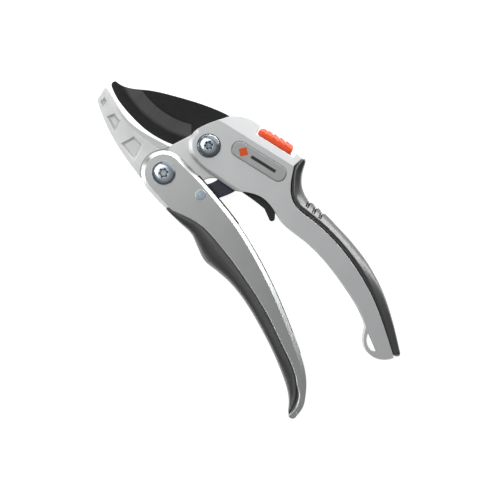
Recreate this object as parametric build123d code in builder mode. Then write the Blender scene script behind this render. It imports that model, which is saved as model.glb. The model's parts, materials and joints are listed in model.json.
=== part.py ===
"""Ratchet anvil secateurs, lying flat with the jaws towards -X and the front face up.

Every outline is drawn from the blade pivot. The halves in front of and behind the blade are mirror images.
"""

import os

from build123d import *

# Driving dimensions, in mm and degrees
PIVOT_X = -47.54  # blade pivot, from the middle of the tool
PIVOT_Y = 12.77
HALF_DEPTH = 9.0  # outer faces of both handles, from the blade's middle plane
UPPER_WALL = 5.0  # inner faces of the upper handle, and outer faces of the anvil's cheeks
LOWER_WALL = 5.8  # inner faces of the lower handle
LINER_WALL = 5.2  # inner faces of the plastic liner
BLADE_HALF = 1.6  # half the thickness of blade and link
SLOT_HALF = 2.2  # half the width of the slot that the blade turns in
JAW_HALF = 5.8  # half the width of the anvil's web
FLANGE_HALF = 7.2  # half the width of the anvil's flange
CORE_HALF = 5.5  # half the width of the ribs that carry the grips
GRIP_HALF = 8.8
CLOSING_ANGLE = 3.0  # how far the blade turns from here to the anvil

BLADE_PIVOT = (0, 0)
HANDLE_PIVOT = (-4.4, -28.5)
LINK_PIVOT = (17.7, -20.7)
LEVER_PIVOT = (42, 10)
TANG_SCREWS = ((33, 8.5), (33.2, 16.5))

SHANK_RADIUS = 3.0
BUSH_RADIUS = 4.5
WASHER_RADIUS = 9.0
LINK_PIN_RADIUS = 2.95
LEVER_PIN_RADIUS = 1.5
TANG_SCREW_RADIUS = 1.5
RUNNING_FIT = 0.05  # radial clearance of everything that turns

RIDGE_ANGLE = 18.2  # slope of the head's top bevel
RIDGE_START = (0, 15.7)
SADDLE_HEIGHT = 4.15  # slider's seat above the ridge
SLIDER_TRAVEL = 2.0
DETENT_AT = 18.5  # detent ball, along the ridge
BADGE_CENTRE = (24.25, 15.4)

# Curves that two pieces share
CUTTING_EDGE = ((-60, -19.7), (-52, -21.8), (-42, -22.1), (-30, -20.9), (-20, -17.8), (-13.5, -14.6))
UPPER_GRIP_LINE = (
    (38.2, 28.7), (43, 22.7), (49.5, 17), (56, 15), (66, 16.7), (80, 18.8), (92, 19.2), (105, 18.2),
    (120, 15.4), (135, 10.5), (153.6, 2.9),
)  # fmt: skip
LOWER_GRIP_LINE = (
    (11.5, -40), (20, -36), (30, -32), (42, -30.9), (58, -31.3), (75, -32.9), (92, -35.5), (110, -40),
    (126, -44.9), (134, -50.5), (139.7, -60.4),
)  # fmt: skip


def level(height):
    """A plane parallel to the handles' faces, with the blade pivot as its origin."""
    return Plane(origin=(PIVOT_X, PIVOT_Y, HALF_DEPTH + height))


def head_level(height):
    """The same plane, turned to run along the ridge of the head."""
    ridge = Vector(1, 0, 0).rotate(Axis.Z, RIDGE_ANGLE)
    return Plane(origin=level(height).from_local_coords(RIDGE_START), x_dir=ridge, z_dir=(0, 0, 1))


def turned(point, angle):
    """A point of the blade after it has turned about its pivot."""
    return Vector(*point).rotate(Axis.Z, angle)


def save(builder, name):
    builder.part.label = name
    export_step(builder.part, f"parts/{name}.step")


def torx_star(radius):
    """Six-lobed recess of a screw, in the open sketch."""
    Circle(radius * 0.74)
    with PolarLocations(radius * 0.76, 6):
        Circle(radius * 0.24)


os.makedirs("parts", exist_ok=True)

# Cutting blade: ground hollow towards its edge, with a tail that carries the ratchet steps
GRIND_CENTRE = (-43, 38.5)
GRIND_INNER = 46.0
GRIND_EDGE = 58.7
GRIND_OUTER = 60.9
with BuildPart() as blade:
    with BuildSketch(level(0)):
        with BuildLine():
            Spline(*CUTTING_EDGE)
            ThreePointArc((-60, -19.7), (-61, -18.2), (-60.2, -16.2))
            Spline((-60.2, -16.2), (-56, -15), (-52, -12.4), (-45, -5.8), (-35, 2), (-25, 8.8), (-15, 14.8),
                   (-4.8, 19.6))
            ThreePointArc((-4.8, 19.6), (2.5, 17.5), (8, 13.2))
            Line((8, 13.2), (22, 13.6))
            ThreePointArc((22, 13.6), (26.3, 11.9), (26.4, 8.4))
            Line((26.4, 8.4), (25.47, 8.3))
            ThreePointArc((25.47, 8.3), (21.6, 11.16), (18.82, 8.68))
            Polyline((18.82, 8.68), (17.2, 5.8), (15.6, 6.4), (13.9, 2.6), (12.3, 3.2), (10.6, -0.6),
                     (9.4, -5))
            ThreePointArc((9.4, -5), (4, -10), (-3, -10.6))
            Line((-3, -10.6), (-13.5, -14.6))
        make_face()
        with Locations(BLADE_PIVOT):
            Circle(BUSH_RADIUS + RUNNING_FIT, mode=Mode.SUBTRACT)
    extrude(amount=BLADE_HALF)
    grind_axis = Axis(level(0).from_local_coords(GRIND_CENTRE), (0, 0, 1))
    grind_plane = Plane(
        origin=grind_axis.position,
        x_dir=Vector(-1, 0, 0),
        z_dir=Vector(0, 1, 0),
    )
    with BuildSketch(grind_plane):
        with BuildLine():
            Polyline(
                (GRIND_INNER, BLADE_HALF), (GRIND_EDGE, 0.55), (GRIND_OUTER, 0.15), (GRIND_OUTER + 9, 0.15),
                (GRIND_OUTER + 9, 3), (GRIND_INNER, 3), close=True,
            )  # fmt: skip
        make_face()
    revolve(axis=grind_axis, revolution_arc=126.5, mode=Mode.SUBTRACT)
    mirror(about=level(0))
save(blade, "blade")

# Anvil jaw: web with pockets, flange under the blade, two cheeks and a tang inside the upper handle
ANVIL_TOP = ((-13.8, -16.8), (-20, -19.3), (-30, -23), (-42, -24.8), (-52, -23.7), (-60.5, -22.3))
POCKETS = (
    ((-57.2, -26.4), (-54.6, -26.8), (-53.2, -31), (-56.6, -30)),
    ((-46.8, -28), (-41.6, -28.2), (-38.8, -34.6), (-48.2, -32.4)),
    ((-30.4, -27.8), (-23.8, -27.2), (-19.8, -36.6), (-32, -36.2)),
)
closed_edge = [turned(point, CLOSING_ANGLE) - Vector(0, 0.3) for point in CUTTING_EDGE]
with BuildPart() as anvil_jaw:
    with BuildSketch(level(0)):
        with BuildLine():
            Polyline((-7, -39.8), (-13.8, -25), (-13.8, -16.8), (-10.9, -4), (-10.2, 0))
            ThreePointArc((-10.2, 0), (-7.2, 7.2), (0, 10.2))
            Polyline((0, 10.2), (12, 13), (36, 20.5), (36, 5.8), (30.5, 0), (27.5, -4.2), (16.5, -7.8))
            ThreePointArc((16.5, -7.8), (13.2, -11.6), (12.1, -14.8))
            Spline((12.1, -14.8), (10, -20), (7.1, -28.5), tangents=((-0.2, -1), (0, -1)))
            ThreePointArc((7.1, -28.5), (3.73, -36.63), (-4.4, -40))
            Line((-4.4, -40), (-7, -39.8))
        make_face()
    extrude(amount=UPPER_WALL)
    with BuildSketch(level(0)):
        with BuildLine():
            Spline(*ANVIL_TOP)
            Spline((-60.5, -22.3), (-61, -23.4), (-59.8, -26.5), (-59, -29.3), (-58, -31))
            Spline((-58, -31), (-50, -34), (-38, -37.2), (-25, -39), (-7, -39.9))
            Line((-7, -39.9), (-13.8, -16.8))
        make_face()
    extrude(amount=JAW_HALF)
    with BuildSketch(level(JAW_HALF)):
        for corners in POCKETS:
            with BuildLine():
                Polyline(*corners, close=True)
            make_face()
    extrude(amount=-1.8, taper=35, mode=Mode.SUBTRACT)
    with BuildSketch(level(0)):
        with BuildLine():
            Spline(*ANVIL_TOP)
            Line((-60.5, -22.3), (-59.8, -24))
            Spline((-59.8, -24), (-52, -25.8), (-43, -26.6), (-32, -25.7), (-20, -22.6), (-14.6, -20.4))
            Line((-14.6, -20.4), (-13.8, -16.8))
        make_face()
    extrude(amount=FLANGE_HALF)
    with BuildSketch(level(UPPER_WALL)):
        with Locations(HANDLE_PIVOT):
            Circle(13.1)
    extrude(amount=5, mode=Mode.SUBTRACT)
    with BuildSketch(level(0)):
        with BuildLine():
            Polyline((-66, 30), (-66, -24.2), closed_edge[0])
            Spline(*closed_edge)
            Polyline(closed_edge[-1], (-12, -16.4), (-2, -13), (4, -13.6), (8.4, -17), (10, -24), (34, -24),
                     (29.9, -2.6))
            ThreePointArc((29.9, -2.6), (29, 7.7), (24, 18))
            Polyline((24, 18), (24, 30), (-66, 30))
        make_face()
    extrude(amount=SLOT_HALF, mode=Mode.SUBTRACT)
    with BuildSketch(level(0)):
        with Locations(BLADE_PIVOT):
            Circle(SHANK_RADIUS + RUNNING_FIT)
        with Locations(HANDLE_PIVOT):
            Circle(BUSH_RADIUS + RUNNING_FIT)
    extrude(amount=HALF_DEPTH, mode=Mode.SUBTRACT)
    mirror(about=level(0))
    # Pocket of the opening spring, and threads of the tang screws
    with BuildSketch(level(UPPER_WALL)):
        with Locations(HANDLE_PIVOT):
            Circle(8.8)
    extrude(amount=-4, mode=Mode.SUBTRACT)
    with BuildSketch(level(-UPPER_WALL)):
        with Locations(*TANG_SCREWS):
            Circle(TANG_SCREW_RADIUS)
    extrude(amount=8, mode=Mode.SUBTRACT)
save(anvil_jaw, "anvil_jaw")

# Upper handle: a cast channel open towards the other handle, with a roof bevel and a lanyard loop
with BuildPart() as upper_handle:
    with BuildSketch(level(0)):
        with BuildLine():
            Spline((-4.8, 19.6), (-6.6, 15), (-8.8, 9.4), (-10.3, 4.4), (-11.1, 0))
            ThreePointArc((-11.1, 0), (-7.85, -7.85), (0, -11.1))
            Spline((0, -11.1), (10, -9.8), (20, -7.2), (27.6, -5), tangents=((1, 0), (1, 0.3)))
            Spline((27.6, -5), (33, -0.2), (40, 4), (47, 4.9), (57, 3.8), (72, 6.4), (92, 8.2), (110, 7),
                   (124, 4.6), (131, 1.8))
            Spline((131, 1.8), (134.4, -2.4), (139, -5.6), (144, -6), (149.2, -3.6), (153.6, 2.9))
            Spline(*reversed(UPPER_GRIP_LINE))
            Line((38.2, 28.7), (38, 35))
            Spline((38, 35), (24, 32), (10, 29), (3.4, 26.8), (-1, 23.8), (-4.8, 19.6))
        make_face()
    extrude(amount=HALF_DEPTH)
    front_face = upper_handle.faces().sort_by(Axis.Z)[-1]
    lower_edges = front_face.edges().filter_by(
        lambda edge: edge.center().Y < PIVOT_Y + 7 and edge.center().X < PIVOT_X + 128
    )
    chamfer(lower_edges, length=2.1, length2=1.7, reference=front_face)
    # Roof bevel of the head, and the saddle that the slider runs in
    roof_plane = Plane(
        origin=head_level(0).from_local_coords((-20, 0)),
        x_dir=head_level(0).y_dir,
        z_dir=head_level(0).x_dir,
    )
    with BuildSketch(roof_plane):
        with BuildLine():
            Polyline((0, HALF_DEPTH), (14, 2), (14, 12), (0, 12), close=True)
        make_face()
    extrude(amount=80, mode=Mode.SUBTRACT)
    with BuildSketch(head_level(0)):
        with Locations((13.2, SADDLE_HEIGHT)):
            Rectangle(24.6, 12, align=(Align.MIN, Align.MIN))
    extrude(amount=12, mode=Mode.SUBTRACT)
    # Hollow of the channel, and the room that the blade turns in
    with BuildSketch(level(0)):
        with BuildLine():
            Line((-14, 12.7), (33, 28.1))
            Spline((33, 28.1), (37, 24.6), (44, 16.6), (53, 11.8), (66, 13.5), (80, 15.6), (92, 16),
                   (105, 15), (118, 12.4), (126, 9.6))
            Polyline((126, 9.6), (127, -12), (40, -20), (-14, -20), (-14, 12.7))
        make_face()
    extrude(amount=UPPER_WALL, mode=Mode.SUBTRACT)
    with BuildSketch(level(0)):
        Circle(21.2)
        with BuildLine():
            Polyline((21.2, -16), (30, -16), (30, 10), (12, 17.5), (0, 0), close=True)
        make_face()
    extrude(amount=SLOT_HALF, mode=Mode.SUBTRACT)
    # Slot for the lock tab
    with BuildSketch(head_level(0)):
        with Locations((23, 0)):
            Rectangle(6 + SLIDER_TRAVEL + 0.6, 12, align=(Align.MIN, Align.MIN))
    extrude(amount=1.5, mode=Mode.SUBTRACT)
    # Rib inside the grip
    with BuildSketch(level(0)):
        with BuildLine():
            Spline((39.6, 33.4), (44, 25.6), (50, 20.3), (56, 18.4), (66, 20), (80, 22.2), (92, 22.7),
                   (105, 21.8), (120, 19), (135, 14), (149, 7.6))
            Polyline((149, 7.6), (140, 4), (120, 13), (92, 17.5), (60, 14), (50, 15), (38.1, 28),
                     (38.1, 33.4), (39.6, 33.4))
        make_face()
    extrude(amount=CORE_HALF)
    with BuildSketch(level(0)):
        with Locations(BLADE_PIVOT):
            Circle(SHANK_RADIUS + RUNNING_FIT)
    extrude(amount=HALF_DEPTH, mode=Mode.SUBTRACT)
    # Half-moon hole of the lanyard loop
    with BuildSketch(level(0)):
        with BuildLine():
            Line((134.2, 1.4), (145.9, -2.2))
            ThreePointArc((145.9, -2.2), (140.6, -3.9), (134.2, 1.4))
        make_face()
    extrude(amount=HALF_DEPTH, mode=Mode.SUBTRACT)
    mirror(about=level(0))
    # Groove of the detent ball, recess of the badge in front, and of the nut and the screw heads behind
    with BuildSketch(head_level(0)):
        with Locations((DETENT_AT - 1.1, SADDLE_HEIGHT - 0.55)):
            Rectangle(SLIDER_TRAVEL + 2.2, 3, align=(Align.MIN, Align.MIN))
    extrude(amount=1, both=True, mode=Mode.SUBTRACT)
    with BuildSketch(level(HALF_DEPTH)):
        with Locations(BADGE_CENTRE):
            SlotCenterToCenter(24.8, 9.4, rotation=RIDGE_ANGLE)
    extrude(amount=-0.9, mode=Mode.SUBTRACT)
    with BuildSketch(level(-HALF_DEPTH)):
        with Locations(LEVER_PIVOT):
            Circle(LEVER_PIN_RADIUS)
    extrude(amount=16, mode=Mode.SUBTRACT)
    with BuildSketch(level(-HALF_DEPTH)):
        with Locations(BLADE_PIVOT):
            RegularPolygon(5.3, 6, major_radius=False)
    extrude(amount=3, mode=Mode.SUBTRACT)
    with Locations(*[level(-HALF_DEPTH).from_local_coords(point) for point in TANG_SCREWS]):
        with Locations(Location((0, 0, 0), (180, 0, 0))):
            CounterSinkHole(TANG_SCREW_RADIUS + RUNNING_FIT, 2.8, depth=5)
save(upper_handle, "upper_handle")

# Grip of the upper handle: soft rubber round the rib, with three thumb grooves
THUMB_GROOVES = ((59.5, 21.6), (64.1, 22.4), (68.4, 23.2))
with BuildPart() as upper_grip:
    with BuildSketch(level(0)):
        with BuildLine():
            Polyline(UPPER_GRIP_LINE[0], (38, 35))
            ThreePointArc((38, 35), (38.8, 36), (40.6, 35.2))
            Spline((40.6, 35.2), (46, 27.8), (51, 24.2), (58, 22.8), (69, 24.3), (80, 25.7), (92, 26.2),
                   (105, 25.6), (120, 22.5), (135, 17), (148, 11), (154.6, 7.4))
            ThreePointArc((154.6, 7.4), (156.1, 5.4), (153.6, 2.9))
            Spline(*reversed(UPPER_GRIP_LINE))
        make_face()
    extrude(amount=GRIP_HALF)
    long_edges = upper_grip.faces().sort_by(Axis.Z)[-1].edges().sort_by(Edge.length)[-2:]
    fillet(long_edges.sort_by(Axis.Y)[-1], radius=1.5)
    with BuildSketch(level(0)):
        with Locations(*THUMB_GROOVES):
            SlotCenterToCenter(3.2, 1.5, rotation=108)
    extrude(amount=GRIP_HALF, mode=Mode.SUBTRACT)
    add(upper_handle.part, mode=Mode.SUBTRACT)
    mirror(about=level(0))
save(upper_grip, "upper_grip")

# Lower handle: a channel open towards the upper handle, its cheeks on both sides of the anvil
LOWER_FLOOR = (
    (5.5, -36.9), (14, -35.8), (22, -32.6), (32, -29), (44, -27.9), (58, -28.2), (75, -29.8), (92, -32.4),
    (110, -36.9), (124, -41.2),
)  # fmt: skip
FACET_CENTRE = (128.2, -59.3)
FACET_RADIUS = 12.8
with BuildPart() as lower_handle:
    with BuildSketch(level(0)):
        with BuildLine():
            Spline(LOWER_GRIP_LINE[0], (3, -40.7), (-4.4, -40.8), tangents=((-1, -0.12), (-1, 0)))
            ThreePointArc((-4.4, -40.8), (-16.7, -28.5), (-3.3, -16.25))
            Spline((-3.3, -16.25), (10, -15), (28, -14.8), (42, -15.3), (60, -17.8), (80, -22.1), (100, -28),
                   (120, -35), (133, -42), (140, -48.8), (144, -58.8), tangents=((1, 0.09), (0.1, -1)))
            ThreePointArc((144, -58.8), (142.8, -61.4), (139.7, -60.4))
            Spline(*reversed(LOWER_GRIP_LINE))
        make_face()
    extrude(amount=HALF_DEPTH)
    front_face = lower_handle.faces().sort_by(Axis.Z)[-1]
    grip_edge = front_face.edges().sort_by(Edge.length)[-2]
    chamfer(grip_edge, length=1.0, length2=0.8, reference=front_face)
    front_face = lower_handle.faces().sort_by(Axis.Z)[-1]
    rim_edges = front_face.edges().filter_by(lambda edge: edge.length > 20).sort_by(Axis.Y)[-2:]
    chamfer(rim_edges, length=2.1, length2=1.7, reference=front_face)
    with BuildSketch(level(0)):
        with BuildLine():
            Spline(*LOWER_FLOOR)
            Polyline(LOWER_FLOOR[-1], (126, -39), (126, -10), (-24, -10), (-24, -50), (-2, -50), (-2, -40.35))
            ThreePointArc((-2, -40.35), (2, -38.9), (5.5, -36.9))
        make_face()
    extrude(amount=LOWER_WALL, mode=Mode.SUBTRACT)
    with BuildSketch(level(0)):
        with BuildLine():
            Spline((27, -33.6), (35, -35), (44, -34.8), (58, -34.9), (75, -36.4), (92, -39), (110, -43.3),
                   (125, -48.2))
            Polyline((125, -48.2), (128, -45), (110, -38), (92, -34), (58, -29.8), (36, -30), (27, -33.6))
        make_face()
    extrude(amount=CORE_HALF)
    with BuildSketch(level(0)):
        with Locations(HANDLE_PIVOT):
            Circle(SHANK_RADIUS + RUNNING_FIT)
        with Locations(LINK_PIVOT):
            Circle(LINK_PIN_RADIUS)
    extrude(amount=HALF_DEPTH, mode=Mode.SUBTRACT)
    # Conical facet that makes the tip look twisted
    facet_axis = Axis(level(0).from_local_coords(FACET_CENTRE), (0, 0, 1))
    with BuildSketch(Plane(origin=facet_axis.position, x_dir=(1, 0, 0), z_dir=(0, -1, 0))):
        with BuildLine():
            Polyline(
                (FACET_RADIUS, HALF_DEPTH), (FACET_RADIUS - 5, HALF_DEPTH - 4),
                (FACET_RADIUS - 5, HALF_DEPTH + 1), (FACET_RADIUS, HALF_DEPTH + 1), close=True,
            )  # fmt: skip
        make_face()
    revolve(axis=facet_axis, mode=Mode.SUBTRACT)
    mirror(about=level(0))
    with BuildSketch(level(-HALF_DEPTH)):
        with Locations(HANDLE_PIVOT):
            RegularPolygon(5.3, 6, major_radius=False)
    extrude(amount=2.2, mode=Mode.SUBTRACT)
save(lower_handle, "lower_handle")

with BuildPart() as lower_grip:
    with BuildSketch(level(0)):
        with BuildLine():
            Spline(*LOWER_GRIP_LINE)
            Spline((139.7, -60.4), (135.4, -56.4), (129, -52.6), (119, -48.7), (105, -44.7), (92, -41.9),
                   (80, -40), (68, -39.3), (57, -40.4), (46, -42.3), (37, -40.3), (29, -38.4), (21, -39.4),
                   (11.5, -40))
        make_face()
    extrude(amount=GRIP_HALF)
    fillet(lower_grip.faces().sort_by(Axis.Z)[-1].edges().sort_by(Axis.Y)[0], radius=1.5)
    add(lower_handle.part, mode=Mode.SUBTRACT)
    mirror(about=level(0))
save(lower_grip, "lower_grip")

# Plastic liner of the lower handle's channel: its edge stands just proud of the bright rim
with BuildPart() as handle_liner:
    with BuildSketch(level(0)):
        with BuildLine():
            Line((9, -36.6), (9, -14.3))
            Spline((9, -14.3), (18, -14.1), (30, -14.1), (43, -14.6))
            Line((43, -14.6), (43, -15.1))
            Spline((43, -15.1), (60, -17.4), (80, -21.7), (100, -27.6), (119, -34.3))
            Line((119, -34.3), LOWER_FLOOR[-1])
            Spline(*reversed(LOWER_FLOOR))
            Line(LOWER_FLOOR[0], (9, -36.6))
        make_face()
        with BuildLine():
            Polyline((5, -38), (9, -38), (9, -12), (5, -12), close=True)
        make_face(mode=Mode.SUBTRACT)
    extrude(amount=LOWER_WALL)
    with BuildSketch(level(0)):
        with BuildLine():
            Spline(*[(x, y + 0.9) for x, y in LOWER_FLOOR])
            Polyline((124, -40.3), (126, -30), (126, -5), (0, -5), (0, -36), (5.5, -36))
        make_face()
    extrude(amount=LINER_WALL, mode=Mode.SUBTRACT)
    with BuildSketch(level(0)):
        with Locations(LINK_PIVOT):
            Circle(LINK_PIN_RADIUS + RUNNING_FIT)
    extrude(amount=HALF_DEPTH, mode=Mode.SUBTRACT)
    add(lower_handle.part, mode=Mode.SUBTRACT)
    mirror(about=level(0))
save(handle_liner, "handle_liner")

# Ratchet link: a flat bar from the lower handle to the blade's tail
with BuildPart() as ratchet_link:
    with BuildSketch(level(0)):
        with BuildLine():
            ThreePointArc((19.14, 8.26), (22.56, 10.76), (25.06, 7.34))
            Spline((25.06, 7.34), (25.6, 3.6), (27.8, -1.2), (27.9, -5.4), (25.2, -14.2), (23.1, -20.2))
            ThreePointArc((23.1, -20.2), (17.2, -26.1), (12.3, -20.4))
            Spline((12.3, -20.4), (13.6, -17.2), (15.7, -13.4), (17.3, -3.7), (19.14, 8.26))
        make_face()
        with Locations(LINK_PIVOT):
            Circle(LINK_PIN_RADIUS + RUNNING_FIT, mode=Mode.SUBTRACT)
    extrude(amount=BLADE_HALF, both=True)
save(ratchet_link, "ratchet_link")

# Release lever: a sprung finger hook that looks out of the upper handle
LEVER_HALF = 2.5
with BuildPart() as release_lever:
    with BuildSketch(level(0)):
        with BuildLine():
            Spline((31, -2.3), (36, -0.9), (41, 0.3), (46, 1.2))
            Line((46, 1.2), (51.6, -0.4))
            ThreePointArc((51.6, -0.4), (53.7, -0.1), (53.9, 1.9))
            Line((53.9, 1.9), (50.6, 5))
            Spline((50.6, 5), (46.6, 8.4), (45.2, 12), (42, 14), (38.5, 12), (37.4, 7), (33.8, 1.6),
                   (31, -2.3))
        make_face()
        with Locations(LEVER_PIVOT):
            Circle(LEVER_PIN_RADIUS, mode=Mode.SUBTRACT)
    extrude(amount=LEVER_HALF, both=True)
save(release_lever, "release_lever")

with BuildPart() as lever_pin:
    with BuildSketch(level(-HALF_DEPTH)):
        with Locations(LEVER_PIVOT):
            Circle(LEVER_PIN_RADIUS - RUNNING_FIT)
    extrude(amount=15.9)
save(lever_pin, "lever_pin")

# Lock slider: a ribbed thumb button on the saddle, with a steel tab and a detent underneath
SLIDER_HALF = 6.2
SLIDER_GAP = 0.1
RIB_GROOVES = (17.9, 21.7, 25.5, 29.3)
TAB_HALF = 1.3
TONGUE_TOP = 5.15  # top of the tab's tongue, which looks out behind the slider
with BuildPart() as lock_slider:
    with BuildSketch(head_level(0)):
        with BuildLine():
            base = SADDLE_HEIGHT + SLIDER_GAP
            Polyline((16.1, base), (33.2, base), (34.8, 6.4), (35.4, 8))
            ThreePointArc((35.4, 8), (35, 9.3), (33.4, 9.7))
            ThreePointArc((33.4, 9.7), (26, 10), (17.6, 9.4))
            ThreePointArc((17.6, 9.4), (14, 8.3), (14.5, 6))
            Line((14.5, 6), (16.1, base))
        make_face()
    extrude(amount=SLIDER_HALF)
    side_edges = lock_slider.faces().sort_by(Axis.Z)[-1].edges()
    crown_edge = side_edges.filter_by(GeomType.CIRCLE).sort_by(Edge.length)[-1]
    chamfer(crown_edge, length=1.6)
    with BuildSketch(head_level(0)):
        with Locations(*[(position, 10.1) for position in RIB_GROOVES]):
            Circle(0.75)
    extrude(amount=SLIDER_HALF, mode=Mode.SUBTRACT)
    with BuildSketch(head_level(0)):
        with Locations((26.4, base)):
            Rectangle(5.6, 2.4, align=(Align.CENTER, Align.MIN))
        with Locations((29, base)):
            Rectangle(7, TONGUE_TOP - base, align=(Align.MIN, Align.MIN))
    extrude(amount=TAB_HALF, mode=Mode.SUBTRACT)
    mirror(about=level(0))
    detent_bottom = Plane(
        origin=head_level(0).from_local_coords((DETENT_AT, base)),
        z_dir=head_level(0).y_dir,
    )
    with BuildSketch(detent_bottom):
        Circle(1)
    extrude(amount=3.6, mode=Mode.SUBTRACT)
save(lock_slider, "lock_slider")

with BuildPart() as lock_tab:
    with BuildSketch(head_level(0)):
        with BuildLine():
            Polyline(
                (23.6, 6.6), (29.2, 6.6), (29.2, TONGUE_TOP), (35.7, TONGUE_TOP), (35.7, 4.3), (29.2, 4.3),
                (29.2, 0.4), (27.6, -1.6), (25.6, -1.6), (25.6, 0.4), (23.6, 1.2), close=True,
            )  # fmt: skip
        make_face()
    extrude(amount=TAB_HALF, both=True)
save(lock_tab, "lock_tab")

with BuildPart() as detent_ball:
    with Locations(head_level(0).from_local_coords((DETENT_AT, SADDLE_HEIGHT + 0.45))):
        Sphere(0.9)
save(detent_ball, "detent_ball")

badge_plane = level(HALF_DEPTH - 0.9)
with BuildPart() as badge:
    with BuildSketch(badge_plane):
        with Locations(BADGE_CENTRE):
            SlotCenterToCenter(24.8, 8.6, rotation=RIDGE_ANGLE)
    extrude(amount=1.1)
    fillet(badge.faces().sort_by(Axis.Z)[-1].edges(), radius=0.5)
save(badge, "badge")


def coil(centre, radius, wire_radius, start, pitch, turns):
    """Coil spring round an axis that stands on the blade's middle plane."""
    with BuildPart() as spring:
        with BuildLine():
            path = Helix(pitch, pitch * turns, radius, center=level(start).from_local_coords(centre))
        with BuildSketch(Plane(origin=path @ 0, z_dir=path % 0)):
            Circle(wire_radius)
        sweep(is_frenet=True)
    return spring


save(coil(HANDLE_PIVOT, 6.9, 0.65, 1.75, 1.6, 1.5), "opening_spring")
save(coil(LINK_PIVOT, 5.0, 0.45, 2.3, 1.15, 2), "link_spring")
save(coil(LEVER_PIVOT, 2.7, 0.4, 3.1, 0.95, 1.5), "lever_spring")


def tube(centre, inner, outer, bottoms, height, name):
    """Bushes, washers and spacers: one ring at each of the given heights."""
    with BuildPart() as rings:
        for bottom in bottoms:
            with BuildSketch(level(bottom)):
                with Locations(centre):
                    Circle(outer)
                    Circle(inner, mode=Mode.SUBTRACT)
            extrude(amount=height)
    save(rings, name)


bore = SHANK_RADIUS + RUNNING_FIT
tube(BLADE_PIVOT, bore, BUSH_RADIUS, [-2.15], 4.3, "blade_pivot_bush")
tube(BLADE_PIVOT, BUSH_RADIUS + 0.1, WASHER_RADIUS, [-2.15, 1.65], 0.5, "blade_pivot_washers")
tube(BLADE_PIVOT, bore, 6.5, [HALF_DEPTH], 0.8, "blade_pivot_ring")
tube(HANDLE_PIVOT, bore, BUSH_RADIUS, [-5.75], 11.5, "handle_pivot_bush")
tube(HANDLE_PIVOT, BUSH_RADIUS + 0.1, WASHER_RADIUS, [-5.7, 5.1], 0.6, "handle_pivot_washers")
tube(LINK_PIVOT, LINK_PIN_RADIUS + RUNNING_FIT, 4.3, [-5.1, 1.7], 3.4, "link_spacers")


def pivot_bolt(centre, head_bottom, head_radius, head_height, recess_radius, name):
    """Pan-head screw with a six-lobed recess."""
    axis_plane = Plane(origin=level(head_bottom).from_local_coords(centre), x_dir=(1, 0, 0), z_dir=(0, -1, 0))
    with BuildPart() as bolt:
        with BuildSketch(axis_plane):
            with BuildLine():
                Polyline((0, 0), (head_radius, 0), (head_radius, 0.4 * head_height))
                ThreePointArc((head_radius, 0.4 * head_height), (0.72 * head_radius, 0.86 * head_height),
                              (0.45 * head_radius, head_height))
                Polyline((0.45 * head_radius, head_height), (0, head_height), (0, 0))
            make_face()
        revolve(axis=Axis(axis_plane.origin, (0, 0, 1)))
        with BuildSketch(level(head_bottom + head_height)):
            with Locations(centre):
                torx_star(recess_radius)
        extrude(amount=-0.7 * head_height, mode=Mode.SUBTRACT)
        with BuildSketch(level(-8.7)):
            with Locations(centre):
                Circle(SHANK_RADIUS)
        extrude(amount=head_bottom + 8.7)
    save(bolt, name)


pivot_bolt(BLADE_PIVOT, HALF_DEPTH + 0.8, 5.9, 1.9, 2.6, "blade_pivot_bolt")
pivot_bolt(HANDLE_PIVOT, HALF_DEPTH, 6.45, 1.8, 2.8, "handle_pivot_bolt")


def pivot_nut(centre, height, name):
    """Hexagon nut, sunk flush in a handle's back face."""
    with BuildPart() as nut:
        with BuildSketch(level(-HALF_DEPTH)):
            with Locations(centre):
                RegularPolygon(5.2, 6, major_radius=False)
                Circle(bore, mode=Mode.SUBTRACT)
        extrude(amount=height)
    save(nut, name)


pivot_nut(BLADE_PIVOT, 2.9, "blade_pivot_nut")
pivot_nut(HANDLE_PIVOT, 2.1, "handle_pivot_nut")

with BuildPart() as link_pin:
    with BuildSketch(level(-HALF_DEPTH)):
        with Locations(LINK_PIVOT):
            Circle(LINK_PIN_RADIUS)
    extrude(amount=2 * HALF_DEPTH + 0.35)
    fillet(link_pin.faces().sort_by(Axis.Z)[-1].edges(), radius=0.3)
save(link_pin, "link_pin")

with BuildPart() as tang_screws:
    for point in TANG_SCREWS:
        screw_plane = Plane(
            origin=level(-HALF_DEPTH + 0.2).from_local_coords(point), x_dir=(1, 0, 0), z_dir=(0, -1, 0)
        )
        with BuildSketch(screw_plane):
            with BuildLine():
                Polyline((0, 0), (2.6, 0), (1.42, 1.18), (1.42, 11.6), (0, 11.6), close=True)
            make_face()
        revolve(axis=Axis(screw_plane.origin, (0, 0, 1)))
        with BuildSketch(level(-HALF_DEPTH + 0.2)):
            with Locations(point):
                torx_star(1.1)
        extrude(amount=0.9, mode=Mode.SUBTRACT)
save(tang_screws, "tang_screws")
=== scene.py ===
import json
import math

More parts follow.
